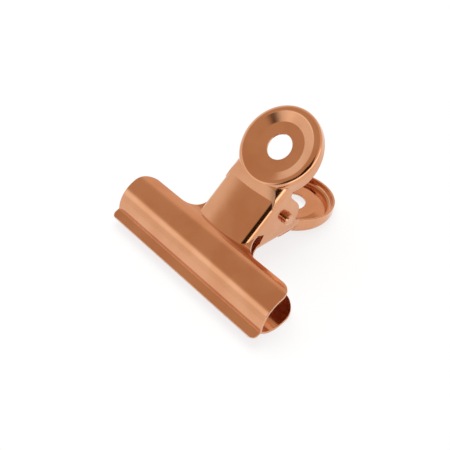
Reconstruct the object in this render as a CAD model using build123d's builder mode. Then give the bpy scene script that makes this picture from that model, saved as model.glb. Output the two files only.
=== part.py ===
"""Round-handled spring clip: two alike pressed-sheet levers, a hinge pin and a torsion spring.

The clip is worked out in its own frame, with X along the jaws, Y from the front lever to the
back lever and Z from the mouth to the handles, and is laid on its back at the end.
"""
import os
from math import acos, asin, atan2, cos, degrees, hypot, pi, radians, sin, sqrt, tan

from build123d import *

# Sheet and jaw
sheet = 0.5
jaw_length = 50.0
jaw_height = 13.2
jaw_depth = 4.9
jaw_radius = 7.05
lip_height = 2.2
lip_gap = 0.1
wing_corner = 3.7
lip_corner = 1.4

# Neck between the jaw and the handle, with its folded sides
lever_tilt = 20.3
shank_length = 23.1
neck_width = 16.0
neck_fillet = 4.8
flap_radius = 4.0
neck_crown = 36.0
bend_radius = 2.0
ear_radius = 4.2
ear_gap = 0.06
ear_corner = 1.5

# Round handle
rim_radius = 10.2
rim_bend = 1.4
bead_height = 0.9
dish_radius = 6.1
skirt_radius = 11.3
rim_depth_at_neck = 3.6
rim_depth_at_top = 1.0
hanging_hole = 6.3

# Hinge pin and torsion spring
pin_height = 26.5
pin_diameter = 2.8
pin_fit = 0.05
pin_reach = 1.5
pin_chamfer = 0.35
wire = 1.1
coil_radius = 2.5
coil_pitch = 1.6
coil_turns = 3
leg_length = 8.2
leg_clearance = 0.4

# Room that tool bodies pass beyond what they cut
spare = 2.0


def across(angle, radius):
    """Point of the jaw's round section, (y, z), at an angle above its centre."""
    return (jaw_centre_y + radius * cos(angle), jaw_centre_z + radius * sin(angle))


def flap(angle, radius):
    """Point of the flap's hollow section, (y, z): it bends back up as the jaw bends in."""
    return (flap_centre_y - radius * cos(angle), flap_centre_z - radius * sin(angle))


def touch_point(point, centre, radius, side):
    """Where the line from a point touches a circle, on the left (1) or right (-1) of the view to it."""
    reach_x = centre[0] - point[0]
    reach_y = centre[1] - point[1]
    distance = hypot(reach_x, reach_y)
    heading = atan2(reach_y, reach_x) + side * asin(radius / distance)
    run = sqrt(distance**2 - radius**2)
    return (point[0] + run * cos(heading), point[1] + run * sin(heading))


# Round section of the jaw: it starts at the lip's outside and ends at the wing's top edge, where
# beside the neck a hollow bend takes it on into an upright flap
lip_outside = lip_gap / 2 + sheet
jaw_centre_y = jaw_depth - jaw_radius
jaw_centre_z = lip_height + sqrt(jaw_radius**2 - (lip_outside - jaw_centre_y) ** 2)
jaw_inside = jaw_radius - sheet
lip_angle = -acos((lip_outside - jaw_centre_y) / jaw_radius)
lip_angle_inside = -acos((lip_gap / 2 - jaw_centre_y) / jaw_inside)
wing_angle = asin((jaw_height - jaw_centre_z) / jaw_radius)
wing_top = across(wing_angle, jaw_radius)
flap_centre_y, flap_centre_z = across(wing_angle, jaw_radius + flap_radius)
flap_inside = flap_radius + sheet
flap_top = jaw_height + neck_fillet

# Planes of the lever: its outer face, a cut across the neck, a side view and a cut through the handle
tilt = radians(lever_tilt)
up = Vector(0, sin(tilt), cos(tilt))
out = Vector(0, cos(tilt), -sin(tilt))
handle_centre = Vector(0, *wing_top) + up * shank_length
handle_axis = Axis(handle_centre, out)
lever_plane = Plane(origin=handle_centre, x_dir=(-1, 0, 0), z_dir=out)
side_plane = Plane(origin=handle_centre, x_dir=up, z_dir=(-1, 0, 0))
handle_cut = Plane(origin=handle_centre, x_dir=(-1, 0, 0), z_dir=up * -1)

# The pin and the folds, seen from the side: along the lever from the handle's centre, and outwards
pin_centre = Vector(0, 0, pin_height)
pin_along = (pin_centre - handle_centre).dot(up)
pin_out = (pin_centre - handle_centre).dot(out)
fold_depth = ear_radius - pin_out + spare
ear_shift = (sheet + ear_gap) / 2


def from_side(point):
    """A point (y, z) of the clip as the side view has it: along the lever, and outwards."""
    reach = Vector(0, *point) - handle_centre
    return (reach.dot(up), reach.dot(out))


# Ring of the handle: a bead of one round section, whose outer quarter is the rim
bead_centre = (rim_radius - rim_bend, bead_height - rim_bend)


def handle_block(inset):
    """Solid behind the handle's outer face, or behind its inner face where inset is the sheet."""
    slope_start = (dish_radius, 0.0)
    slope_end = touch_point(slope_start, bead_centre, rim_bend, 1)
    slope = atan2(slope_end[1], slope_end[0] - slope_start[0])
    bead = rim_bend - inset
    dish_edge = (dish_radius + inset * tan(slope / 2), -inset)
    bead_start = (bead_centre[0] - bead * sin(slope), bead_centre[1] + bead * cos(slope))
    bead_middle = (bead_centre[0] + bead * sin(pi / 8), bead_centre[1] + bead * cos(pi / 8))
    rim = (bead_centre[0] + bead, bead_centre[1])
    with BuildPart() as block:
        with BuildSketch(handle_cut):
            with BuildLine():
                Polyline((0, -fold_depth), (0, -inset), dish_edge, bead_start)
                ThreePointArc(bead_start, bead_middle, rim)
                Polyline(rim, (rim[0], -fold_depth), (0, -fold_depth))
            make_face()
        revolve(axis=handle_axis)
    return block.part


def neck_section(inset, lift):
    """Cut across the neck: a slightly crowned face and folded sides, moved outwards by lift."""
    half = neck_width / 2 - inset
    crown = neck_crown - inset
    shoulder = lift - inset - crown + sqrt(crown**2 - half**2)
    with BuildSketch() as section:
        with BuildLine():
            ThreePointArc((-half, shoulder), (0, lift - inset), (half, shoulder))
            Polyline((half, shoulder), (half, -fold_depth), (-half, -fold_depth), (-half, shoulder))
        make_face()
        fillet(vertices().group_by(Axis.Y)[-1], bend_radius + lift - inset)
    return section.sketch


def neck_block(inset, bottom):
    """Solid behind the neck's face and inside its folds, with the slope that rises to the bead."""
    top = sqrt((rim_radius - inset) ** 2 - (neck_width / 2 - inset) ** 2) - inset / 2
    foot = (skirt_radius, 0.0)
    touch = touch_point(foot, bead_centre, rim_bend, -1)
    slope = atan2(touch[1], foot[0] - touch[0])
    bead = rim_bend - inset
    skirt_top = (bead_centre[0] + bead * sin(slope), bead_centre[1] + bead * cos(slope))
    skirt_end = (skirt_top[0] + (skirt_top[1] + rim_bend) / tan(slope), -rim_bend)
    with BuildPart() as skirt:
        with BuildSketch(handle_cut):
            with BuildLine():
                Polyline(skirt_top, skirt_end, (bead_centre[0], -rim_bend), close=True)
            make_face()
        revolve(axis=handle_axis)
        with BuildSketch(handle_cut):
            add(neck_section(inset, bead_height))
        extrude(amount=bottom, mode=Mode.INTERSECT)
    with BuildPart() as block:
        with BuildSketch(handle_cut.offset(top)):
            add(neck_section(inset, 0))
        extrude(amount=bottom - top)
        add(skirt.part)
    return block.part


# Lever: one pressed sheet with its jaw, neck, ears and handle
outer_handle = handle_block(0)
outer_neck = neck_block(0, shank_length + spare)
inner_handle = handle_block(sheet)
inner_neck = neck_block(sheet, shank_length)

half = neck_width / 2
swing = neck_fillet * (1 - sqrt(0.5))
with BuildPart() as jaw:
    with BuildSketch(Plane.YZ.offset(-jaw_length / 2)):
        with BuildLine():
            Polyline(
                across(lip_angle_inside, jaw_inside),
                (lip_gap / 2, 0),
                (lip_outside, 0),
                across(lip_angle, jaw_radius),
            )
            ThreePointArc(across(lip_angle, jaw_radius), across(0, jaw_radius), wing_top)
            ThreePointArc(wing_top, flap(wing_angle / 2, flap_radius), flap(0, flap_radius))
            Polyline(
                flap(0, flap_radius),
                (flap_centre_y - flap_radius, flap_top),
                (flap_centre_y - flap_inside, flap_top),
                flap(0, flap_inside),
            )
            ThreePointArc(
                flap(0, flap_inside),
                flap(wing_angle / 2, flap_inside),
                flap(wing_angle, flap_inside),
            )
            ThreePointArc(
                flap(wing_angle, flap_inside),
                across(0, jaw_inside),
                across(lip_angle_inside, jaw_inside),
            )
        make_face()
    extrude(amount=jaw_length)
    # The blank seen from the front: rounded corners and a flap beside the neck's root
    with BuildSketch(Plane.XZ):
        Rectangle(jaw_length, jaw_height, align=(Align.CENTER, Align.MIN))
        fillet(vertices().group_by(Axis.Y)[-1], wing_corner)
        fillet(vertices().group_by(Axis.Y)[0], lip_corner)
        with BuildLine():
            Line((-half, flap_top), (half, flap_top))
            for side in (-1, 1):
                ThreePointArc(
                    (side * half, flap_top),
                    (side * (half + swing), jaw_height + swing),
                    (side * (half + neck_fillet), jaw_height),
                )
            Line((-half - neck_fillet, jaw_height), (half + neck_fillet, jaw_height))
        make_face()
    extrude(amount=jaw_radius, both=True, mode=Mode.INTERSECT)

with BuildPart() as lever:
    add(outer_handle)
    add(outer_neck)
    add(inner_handle, mode=Mode.SUBTRACT)
    # Side view of the folds: they stand on the flaps, reach round the pin and end in the rim's taper
    ear_top = pin_along + ear_radius
    middle = flap_radius + sheet / 2
    root = from_side(flap(wing_angle, middle))
    upright = from_side(flap(0, middle))
    fold_foot = from_side((flap_centre_y - middle, flap_top))
    ear_touch = touch_point(fold_foot, (pin_along, pin_out), ear_radius, -1)
    with BuildSketch(side_plane):
        with BuildLine():
            ThreePointArc(root, from_side(flap(wing_angle / 2, middle)), upright)
            Polyline(
                upright,
                fold_foot,
                ear_touch,
                (pin_along, pin_out),
                (ear_top, pin_out),
                (ear_top, -rim_depth_at_neck),
                (rim_radius + spare, -rim_depth_at_top),
                (rim_radius + spare, spare),
                (root[0], spare),
                root,
            )
        make_face()
        ear_vertex = vertices().sort_by_distance((ear_top, -rim_depth_at_neck))[0]
        fillet(ear_vertex, ear_corner)
        with Locations((pin_along, pin_out)):
            Circle(ear_radius)
    extrude(amount=neck_width, both=True, mode=Mode.INTERSECT)
    add(jaw.part)
    add(inner_neck, mode=Mode.SUBTRACT)
    # Holes for the pin and for hanging the clip
    with BuildSketch(side_plane):
        with Locations((pin_along, pin_out)):
            Circle(pin_diameter / 2 + pin_fit)
    extrude(amount=neck_width, both=True, mode=Mode.SUBTRACT)
    with BuildSketch(lever_plane):
        Circle(hanging_hole / 2)
    extrude(amount=spare, both=True, mode=Mode.SUBTRACT)

# The two levers are alike: each has one ear outside and one inside the other's
with BuildPart() as back_lever:
    add(lever.part.moved(Location((-ear_shift, 0, 0))))

with BuildPart() as front_lever:
    add(back_lever.part.rotate(Axis.Z, 180))

# Hinge pin through all four ears
pin_length = neck_width + 2 * ear_shift + 2 * pin_reach
with BuildPart() as hinge_pin:
    with BuildSketch(Plane(origin=pin_centre - Vector(pin_length / 2, 0, 0), z_dir=(1, 0, 0))):
        Circle(pin_diameter / 2)
    extrude(amount=pin_length)
    chamfer(edges().filter_by(GeomType.CIRCLE), pin_chamfer)

# Torsion spring: turns round the pin, and a straight leg behind each handle
leg_room = -pin_out - sheet - leg_clearance - wire / 2
leg_lean = tilt + asin(leg_room / hypot(coil_radius, leg_length)) - atan2(coil_radius, leg_length)
coil_end = -leg_lean
coil_start = pi + leg_lean - 2 * pi * (coil_turns + 1)
coil_sweep = coil_end - coil_start


def coil_point(angle):
    """Point of the wire's centre line at an angle round the pin."""
    along = coil_pitch * (angle - coil_start - coil_sweep / 2) / (2 * pi)
    return pin_centre + Vector(along, coil_radius * cos(angle), coil_radius * sin(angle))


def coil_heading(angle):
    """Direction of the wire's centre line at an angle round the pin."""
    return Vector(coil_pitch / (2 * pi), -coil_radius * sin(angle), coil_radius * cos(angle)).normalized()


def biarc_joint(start, start_heading, end, end_heading):
    """Point where two arcs of one smooth bend meet, each tangent to its own end's heading."""
    chord = end - start
    both = start_heading + end_heading
    spread = 2 * (1 - start_heading.dot(end_heading))
    reach = (sqrt(chord.dot(both) ** 2 + spread * chord.dot(chord)) - chord.dot(both)) / spread
    return (start + end + (start_heading - end_heading) * reach) * 0.5


halves = round(coil_sweep / pi)
angles = [coil_start + coil_sweep * step / halves for step in range(halves + 1)]
leg_start = coil_point(coil_start) - coil_heading(coil_start) * leg_length
leg_end = coil_point(coil_end) + coil_heading(coil_end) * leg_length
with BuildPart() as torsion_spring:
    with BuildLine() as wire_line:
        Line(leg_start, coil_point(coil_start))
        for first, last in zip(angles, angles[1:]):
            joint = biarc_joint(coil_point(first), coil_heading(first), coil_point(last), coil_heading(last))
            TangentArc(coil_point(first), joint, tangent=coil_heading(first))
            TangentArc(coil_point(last), joint, tangent=coil_heading(last) * -1)
        Line(coil_point(coil_end), leg_end)
    with BuildSketch(Plane(origin=leg_start, z_dir=coil_heading(coil_start))):
        Circle(wire / 2)
    sweep()

# The clip lies on its back: on the belly of the back jaw and the rim of the back handle
rim_top = handle_centre + up * bead_centre[0] + out * bead_centre[1]
rise_y = rim_top.Y - jaw_centre_y
rise_z = rim_top.Z - jaw_centre_z
lean = atan2(rise_y, rise_z) - asin((jaw_radius - rim_bend) / hypot(rise_y, rise_z))
belly_drop = jaw_radius + jaw_centre_y * cos(lean) - jaw_centre_z * sin(lean)
turned = Rot(degrees(lean) - 90, 0, 0)
pieces = {
    "back_lever": back_lever,
    "front_lever": front_lever,
    "hinge_pin": hinge_pin,
    "torsion_spring": torsion_spring,
}
outline = Compound(children=[turned * piece.part for piece in pieces.values()]).bounding_box()
lying = Pos(0, -outline.center().Y, belly_drop) * turned

os.makedirs("parts", exist_ok=True)
for name, piece in pieces.items():
    placed = lying * piece.part
    placed.label = name
    export_step(placed, f"parts/{name}.step")
    box = placed.bounding_box()
    print(name, "volume", round(placed.volume, 2), "from", box.min, "to", box.max)

# Places that the record of the clip needs, in its lying frame
for name, point in (("pin", pin_centre), ("handle hole, back", handle_centre + out * -sheet)):
    print(name, (lying * Pos(point)).position)
print("out of the back handle", (turned * Pos(out)).position, "lean", degrees(lean))

# The spring's least gap to itself, on points along its line, and its volume against its length
line_length = wire_line.wire().length
count = 400
points = [wire_line.wire() @ (step / count) for step in range(count + 1)]
apart = int(pi * coil_radius / line_length * count)
pairs = [(first, last) for first in range(count + 1) for last in range(first + apart, count + 1)]
gap = min((points[first] - points[last]).length for first, last in pairs) - wire
print("spring: length", round(line_length, 2), "least gap to itself", round(gap, 3))
tube_volume = pi * wire**2 / 4 * line_length
print("spring: volume over section times length", torsion_spring.part.volume / tube_volume)
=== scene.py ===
# %% [markdown]
# A bulldog clip, dressed in polished copper plate
#
# The clip is four pieces: two alike levers pressed from sheet, the pin that they turn on and the
# torsion spring round the pin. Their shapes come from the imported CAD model, so this lesson is about
# looks: copper plate that shows the marks of its making, a white table and a soft studio.

# %% Load the frame
from math import radians

import bmesh
import bpy
import numpy as np
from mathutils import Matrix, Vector


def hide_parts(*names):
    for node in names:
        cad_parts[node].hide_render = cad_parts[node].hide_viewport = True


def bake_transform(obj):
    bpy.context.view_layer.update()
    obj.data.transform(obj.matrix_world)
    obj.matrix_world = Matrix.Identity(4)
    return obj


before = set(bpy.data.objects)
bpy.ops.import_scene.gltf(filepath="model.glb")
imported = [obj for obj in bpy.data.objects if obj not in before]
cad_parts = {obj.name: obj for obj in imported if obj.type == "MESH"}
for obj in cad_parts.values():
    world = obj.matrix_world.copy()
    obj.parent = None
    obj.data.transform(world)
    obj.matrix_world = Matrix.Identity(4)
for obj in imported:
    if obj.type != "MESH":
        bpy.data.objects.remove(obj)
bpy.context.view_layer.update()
MM = 0.001
print("pieces:", sorted(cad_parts))

# %% [markdown]
# Shader arithmetic
#
# A finish mixes a few patterns: a drift of tone, polishing lines, worn edges. Each is a sum of simple
# patterns, and such sums read best as sums. One small class wraps the socket that a value comes out
# of, so that `1 - wear` or `lines * 0.3` adds the Math node that does it. Every other node comes from
# one method, which sets the node up before it fills its sockets.


# %% A value in a node tree
class Value:
    """What comes out of a socket. Where it is a number, sums and products with it add Math nodes."""

    def __init__(self, recipe, socket):
        self.recipe = recipe
        self.socket = socket

    def __add__(self, other):
        return self.recipe.math("ADD", self, other)

    def __sub__(self, other):
        return self.recipe.math("SUBTRACT", self, other)

    def __rsub__(self, other):
        return self.recipe.math("SUBTRACT", other, self)

    def __mul__(self, other):
        return self.recipe.math("MULTIPLY", self, other)

    __radd__ = __add__
    __rmul__ = __mul__


# %% The tree that makes values
# Rays that the Bevel and Ambient Occlusion nodes send from each point.
shape_samples = 6


class Recipe:
    """A node tree that is filled by asking for nodes one at a time."""

    def __init__(self, tree):
        self.tree = tree
        tree.nodes.clear()

    def node(self, kind, settings=None, inputs=None, output=0):
        """Add a node, set it up, fill its sockets with numbers or links, and return one output."""
        made = self.tree.nodes.new(kind)
        for name, setting in (settings or {}).items():
            setattr(made, name, setting)
        for name, given in (inputs or {}).items():
            if isinstance(given, Value):
                self.tree.links.new(given.socket, made.inputs[name])
            else:
                made.inputs[name].default_value = given
        return Value(self, made.outputs[output]) if len(made.outputs) else None

    def math(self, operation, first, second=0.0):
        """One Math node on two numbers or values; some operations read only the first."""
        return self.node("ShaderNodeMath", {"operation": operation}, {0: first, 1: second})

    def mix(self, share, first, second):
        """Blend two colours by a share from 0 to 1."""
        sockets = {"Factor": share, "A": first, "B": second}
        return self.node("ShaderNodeMix", {"data_type": "RGBA"}, sockets, output="Result")

    def step(self, value, low, high):
        """Rise smoothly from 0 at low to 1 at high."""
        sockets = {"Value": value, "From Min": low, "From Max": high}
        return self.node("ShaderNodeMapRange", {"interpolation_type": "SMOOTHSTEP"}, sockets)

    def noise(self, place, scale, detail):
        """A cloudy pattern over a place, finer with scale and rougher with detail."""
        return self.node("ShaderNodeTexNoise", None, {"Vector": place, "Scale": scale, "Detail": detail})

    def open_share(self, reach):
        """The share of the directions in front of a surface that nothing blocks within a reach."""
        settings = {"samples": shape_samples}
        return self.node("ShaderNodeAmbientOcclusion", settings, {"Distance": reach}, output="AO")


print("values and recipes are ready")

# %% [markdown]
# Copper plate
#
# The sheet is steel with a bright copper plate. Seen close, plate is never one colour: its tone drifts
# a little, the sheet under it waves by a few thousandths of a millimetre, and buffing leaves fine
# lines. A painted picture could show that, but it would have to be wrapped on each piece without
# seams. Noise that is worked out from the place of each point has none. For the lines the noise is
# stretched one way.

# %% Drift, waves and buffing lines
drift_scale = 140.0
wave_scale = 260.0
line_scale = 900.0


def plate_patterns(recipe, line_stretch):
    """A slow drift of tone, the waves of the sheet, and noise stretched into buffing lines."""
    place = recipe.node("ShaderNodeTexCoord", output="Object")
    stretched = recipe.node("ShaderNodeMapping", None, {"Vector": place, "Scale": line_stretch})
    drift = recipe.noise(place, drift_scale, detail=3.0)
    wave = recipe.noise(place, wave_scale, detail=1.0)
    lines = recipe.noise(stretched, line_scale, detail=4.0)
    return drift, wave, lines


mark_sizes = [round(1 / scale / MM, 1) for scale in (drift_scale, wave_scale, line_scale)]
print("drift, waves and lines are about", mark_sizes, "mm wide")

# %% [markdown]
# Edges, hollows and insides
#
# Handling rubs the edges pale, while the hollows get a painted brown shade. Inside the jaws, where no
# buffing wheel reaches, the plate stays dull, and a painted deep red stands for shade and the copper's
# light bouncing between the jaws. These places could be painted by hand, but then they would not follow a
# change of the shape. Here the edges are found by the Bevel node, whose normal differs from the true one
# only near an edge, and the hollows and the insides by the Ambient Occlusion node, with a short reach and
# a long one.
# So the wear and the painted shade sit right on every piece.

# %% Worn edges, shaded hollows and insides
edge_radius = 0.22 * MM
edge_range = (0.02, 0.22)
hollow_reach = 3 * MM
hollow_range = (0.45, 0.95)
inside_reach = 14 * MM
inside_range = (0.62, 0.92)


def wear_and_shade_places(recipe):
    """The normal with its edges rounded, and the shares of edge, hollow and inside at each point."""
    true_normal = recipe.node("ShaderNodeNewGeometry", output="Normal")
    round_normal = recipe.node("ShaderNodeBevel", {"samples": shape_samples}, {"Radius": edge_radius})
    facing = recipe.node(
        "ShaderNodeVectorMath",
        {"operation": "DOT_PRODUCT"},
        {0: true_normal, 1: round_normal},
        output="Value",
    )
    edge = recipe.step(1 - facing, *edge_range)
    hollow = recipe.step(1 - recipe.open_share(hollow_reach), *hollow_range)
    inside = recipe.step(1 - recipe.open_share(inside_reach), *inside_range)
    return round_normal, edge, hollow, inside


print("hollows within", hollow_reach / MM, "mm and insides within", inside_reach / MM, "mm")

# %% [markdown]
# The finish
#
# The marks come together in one Principled shader. The tone drifts between copper and a deeper copper,
# then the rubbed edges, the painted brown shade of the hollows and the painted red shade of the insides
# are laid over it. The clear lacquer that keeps plate bright is the shader's coat. It is missing inside,
# where the plate is also less of a mirror and has no gloss of its own. The bump starts from the rounded
# normal, so sheared edges catch a line of light, as plated edges do.

# %% Tones and shares of the finish
# Painted shade: the brown that the hollows take.
hollow_shade_brown = (0.34, 0.13, 0.055, 1)
# Painted shade and bounced light: the deep red that the insides take, where the plate is also dull.
inside_shade_red = (0.62, 0.13, 0.045, 1)
deep_levels = (0.93, 0.86, 0.78)
pale_gain = 1.12
pale_lift = 0.03
drift_range = (0.35, 0.65)
haze_range = (0.5, 0.8)
# Heights in millimetres.
wave_height = 0.006
line_height = 0.0006
# The weight of the coat, its roughness and how much it bends light.
lacquer = 0.85
lacquer_rough = 0.08
lacquer_bending = 1.5
# How far each place goes towards its tone, and the insides away from bare metal.
edge_rub = 0.6
hollow_shade_share = 0.35
# The hollows and the insides go towards painted shade.
inside_shade_share = 0.9
inside_cover = 0.6
# What each mark adds to the roughness.
line_dull = 0.05
haze_dull = 0.03
edge_dull = 0.08
inside_dull = 0.4
print("the sheet waves by", wave_height, "mm and the lines are", line_height, "mm deep")


# %% Copper finish
def copper_plate(name, tone, rough, line_stretch):
    """Copper of one tone, with drift, buffing lines, pale edges, painted brown shade in the hollows and
    dull insides with painted red shade.
    """
    made = bpy.data.materials.new(name)
    made.use_nodes = True
    recipe = Recipe(made.node_tree)
    drift, wave, lines = plate_patterns(recipe, line_stretch)
    round_normal, edge, hollow, inside = wear_and_shade_places(recipe)

    pale = tuple(min(1.0, channel * pale_gain + pale_lift) for channel in tone[:3]) + (1,)
    deep = tuple(channel * level for channel, level in zip(tone[:3], deep_levels)) + (1,)
    colour = recipe.mix(recipe.step(drift, *drift_range), deep, tone)
    colour = recipe.mix(edge * edge_rub, colour, pale)
    # Painted shade: the hollows go towards brown.
    colour = recipe.mix(hollow * hollow_shade_share, colour, hollow_shade_brown)
    # Painted red shade in the insides; their dullness, thinner coat and lower metallic are the unbuffed
    # finish.
    colour = recipe.mix(inside * inside_shade_share, colour, inside_shade_red)
    haze = recipe.step(drift, *haze_range)
    dull = rough + lines * line_dull + haze * haze_dull + edge * edge_dull + inside * inside_dull

    height = wave * wave_height + lines * line_height
    bump = recipe.node(
        "ShaderNodeBump", None, {"Strength": 1.0, "Distance": MM, "Height": height, "Normal": round_normal}
    )
    shader = recipe.node(
        "ShaderNodeBsdfPrincipled",
        None,
        {
            "Base Color": colour,
            "Metallic": 1 - inside * inside_cover,
            "Roughness": dull,
            "Normal": bump,
            "Specular IOR Level": 0.0,
            "Coat Weight": lacquer - inside * lacquer,
            "Coat Roughness": lacquer_rough,
            "Coat IOR": lacquer_bending,
        },
    )
    recipe.node("ShaderNodeOutputMaterial", None, {"Surface": shader})
    print(name, "has", len(made.node_tree.nodes), "nodes")
    return made


# %% [markdown]
# Which piece wears what
#
# All four pieces are plated alike, but their making differs. The levers are buffed along the jaw, and
# are the brightest. The pin is turned, so its lines run round it. The spring is drawn wire, with faint
# lines along the turns. Each kind gets its own tone, roughness and stretch of the lines: the noise is
# drawn out along an axis whose scale is small.

# %% Dress the four pieces
copper = (0.71, 0.33, 0.16, 1)
pin_copper = (0.76, 0.40, 0.23, 1)
wire_copper = (0.70, 0.33, 0.16, 1)
buffed = 0.11
turned = 0.22
drawn = 0.20
along_jaw = (0.12, 1.0, 1.0)
round_pin = (1.0, 0.1, 0.1)
along_wire = (1.0, 0.4, 0.4)
finishes = {
    "front_lever": copper_plate("front_copper", copper, buffed, along_jaw),
    "back_lever": copper_plate("back_copper", copper, buffed, along_jaw),
    "hinge_pin": copper_plate("pin_copper", pin_copper, turned, round_pin),
    "torsion_spring": copper_plate("spring_copper", wire_copper, drawn, along_wire),
}
for node_name, finish in finishes.items():
    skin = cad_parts[node_name].data
    skin.materials.clear()
    skin.materials.append(finish)
    print(node_name, "wears", finish.name)

# %% [markdown]
# Spring
#
# The imported spring is rigid, but a real one winds up as the handles close: its lower leg stays on the
# back lever, its upper leg goes with the front one, and the turns between them share out the angle. A
# copy of its mesh stands for it. The imported mesh is split along the seams of the wire's faces, so the
# copy has those doubled points merged into one closed skin, smooth but for the cut ends of the wire.

# %% Merge the copy's seams
spring_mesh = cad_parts["torsion_spring"].data.copy()
seam_gap = 0.001 * MM
cut_end = radians(35)
wire = bmesh.new()
wire.from_mesh(spring_mesh)
bmesh.ops.remove_doubles(wire, verts=wire.verts, dist=seam_gap)
wire.to_mesh(spring_mesh)
wire.free()
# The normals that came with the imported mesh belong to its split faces.
if spring_mesh.has_custom_normals:
    spring_mesh.attributes.remove(spring_mesh.attributes["custom_normal"])
spring_mesh.shade_smooth()
spring_mesh.set_sharp_from_angle(angle=cut_end)
print("the spring's skin has", len(spring_mesh.vertices), "points")

# %% Put the spring's copy in place of the imported one
spring = bpy.data.objects.new("winding_spring", spring_mesh)
bpy.context.scene.collection.objects.link(spring)
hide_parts("torsion_spring")
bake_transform(spring)

# %% [markdown]
# Table
#
# The clip lies on a plain white table. A wide square is enough, since the studio round it is white
# too. The Light Path node lets the camera, and the copper that mirrors the table, see most of its
# white as it is; the rest is lit, so that a soft shadow of the clip falls on it.

# %% Table top
table_half = 1.5
table_mesh = bpy.data.meshes.new("table")
# A square about the origin: the corners of a small one, moved out to half the table's width.
corners = table_half * np.array([(-1, -1, 0), (1, -1, 0), (1, 1, 0), (-1, 1, 0)], float)
table_mesh.from_pydata(corners.tolist(), [], [(0, 1, 2, 3)])
table = bpy.data.objects.new("table", table_mesh)
bpy.context.scene.collection.objects.link(table)
print("table is", 2 * table_half, "m wide")

# %% Table paint
white = (1, 1, 1, 1)
lit_white = (0.92, 0.92, 0.92, 1)
plain_share = 0.8
white_paint = bpy.data.materials.new("white_table")
white_paint.use_nodes = True
paint = Recipe(white_paint.node_tree)
lit = paint.node("ShaderNodeBsdfDiffuse", None, {"Color": lit_white})
plain = paint.node("ShaderNodeEmission", None, {"Color": white, "Strength": 1.0})
by_camera = paint.node("ShaderNodeLightPath", output="Is Camera Ray")
by_mirror = paint.node("ShaderNodeLightPath", output="Is Glossy Ray")
as_it_is = (by_camera + by_mirror) * plain_share
both = paint.node("ShaderNodeMixShader", None, {0: as_it_is, 1: lit, 2: plain})
paint.node("ShaderNodeOutputMaterial", None, {"Surface": both})
table_mesh.materials.append(white_paint)
print("the table shows", plain_share, "of its white as it is")

# %% [markdown]
# Studio
#
# Polished metal shows its surroundings, so the room matters more than the lamps. Up to a height of
# about 30 degrees the room's walls are white, a little brighter along their top at the front left and
# dimmer behind the clip. Above that is a dimmer, warm ceiling. The side where the photographer stands
# is dark, and that is what gives bright copper its dark bands; below it runs a low bright screen,
# which draws the thin light line along each fold. All of it could be panels round the clip, but a
# world that knows the bearing and the rise of each direction needs none.

# %% Directions in the room
room = bpy.data.worlds.new("studio")
bpy.context.scene.world = room
room.use_nodes = True
walls = Recipe(room.node_tree)
toward = walls.node("ShaderNodeTexCoord", output="Generated")
rightward = walls.node("ShaderNodeSeparateXYZ", None, {0: toward}, output="X")
frontward = walls.node("ShaderNodeSeparateXYZ", None, {0: toward}, output="Y") * -1.0
upward = walls.node("ShaderNodeSeparateXYZ", None, {0: toward}, output="Z")
bearing = walls.math("ARCTAN2", rightward, frontward)
rise = walls.math("ARCSINE", upward)


def between(value, first, full, fading, gone):
    """Rise from 0 to 1 between the first two angles and fall back between the last two, in degrees."""
    up = walls.step(value, radians(first), radians(full))
    down = walls.step(value, radians(fading), radians(gone))
    return up * (1 - down)


def patch(rises, bearings):
    """A patch of the room with soft sides, by its rises and its bearings from the front to the right."""
    return between(rise, *rises) * between(bearing, *bearings)


print("bearing and rise take", len(room.node_tree.nodes), "nodes")

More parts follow.
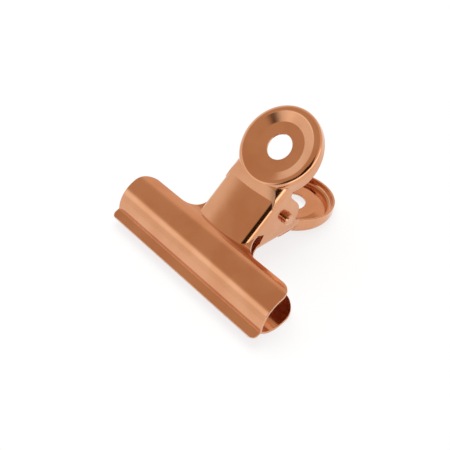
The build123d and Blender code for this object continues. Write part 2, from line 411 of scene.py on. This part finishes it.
# %% Walls, ceiling, dark side and screen
wall_white = (0.95, 0.96, 0.97, 1)
wall_top = (1.2, 1.25, 1.3, 1)
wall_behind = (0.86, 0.70, 0.59, 1)
ceiling_tone = (0.605, 0.465, 0.355, 1)
dark_tone = (0.03, 0.02, 0.015, 1)
screen_white = (2.2, 2.25, 2.3, 1)
ceiling_start = radians(29)
ceiling_full = radians(40)
above = walls.step(rise, ceiling_start, ceiling_full)
stripe = patch(rises=(16, 22, 29, 36), bearings=(-62, -50, -25, -10))
behind = between(rise, 4, 10, 38, 48) * (1 - between(bearing, -130, -105, 125, 150))
dark_low = patch(rises=(13, 18, 34, 42), bearings=(-14, -2, 84, 96))
dark_high = patch(rises=(30, 34, 46, 54), bearings=(20, 32, 84, 96))
dark = walls.math("MAXIMUM", dark_low, dark_high)
screen = patch(rises=(-2, 0, 11, 15), bearings=(20, 35, 130, 150))
colour = walls.mix(above, wall_white, ceiling_tone)
colour = walls.mix(stripe, colour, wall_top)
colour = walls.mix(behind, colour, wall_behind)
colour = walls.mix(dark, colour, dark_tone)
colour = walls.mix(screen, colour, screen_white)
seen = walls.node("ShaderNodeLightPath", output="Is Camera Ray")
colour = walls.mix(seen, colour, white)
sky = walls.node("ShaderNodeBackground", None, {"Color": colour, "Strength": 1.0})
walls.node("ShaderNodeOutputWorld", None, {"Surface": sky})
print("the room has", len(room.node_tree.nodes), "nodes")

# %% [markdown]
# Lamp
#
# The room lights the table from all sides. One large lamp overhead, a little to the left and behind,
# adds light and a soft shadow. Mirrors don't show it, because the room already has what they need.

# %% Lamp
lamp_data = bpy.data.lights.new("overhead", "AREA")
lamp_data.shape = "SQUARE"
lamp_data.size = 0.8
lamp_data.energy = 8.0
lamp_data.color = (0.82, 0.93, 1.0)
lamp = bpy.data.objects.new("overhead", lamp_data)
lamp.location = (-0.25, 0.15, 0.9)
lamp.rotation_euler = (Vector((0, 0, 0)) - lamp.location).to_track_quat("-Z", "Y").to_euler()
lamp.visible_glossy = False
bpy.context.scene.collection.objects.link(lamp)
print("lamp of", lamp_data.energy, "W")

# %% [markdown]
# Camera
#
# The place and aim were fitted to the clip's outline: it is seen from its right, from the mouth's
# side and from above, by a camera that is not rolled.

# %% Camera
eye = Vector((104.74, -100.73, 147.62)) * MM
ahead = Vector((-0.53252, 0.46569, -0.70679))
camera_data = bpy.data.cameras.new("camera")
camera_data.lens = 68.9
camera_data.sensor_width = 36.0
camera_data.clip_start = 0.01
camera = bpy.data.objects.new("camera", camera_data)
camera.location = eye
camera.rotation_euler = ahead.to_track_quat("-Z", "Y").to_euler()
bpy.context.scene.collection.objects.link(camera)
bpy.context.scene.camera = camera
bpy.context.scene.view_settings.view_transform = "Standard"
print("camera at", [round(part, 3) for part in eye], "m")
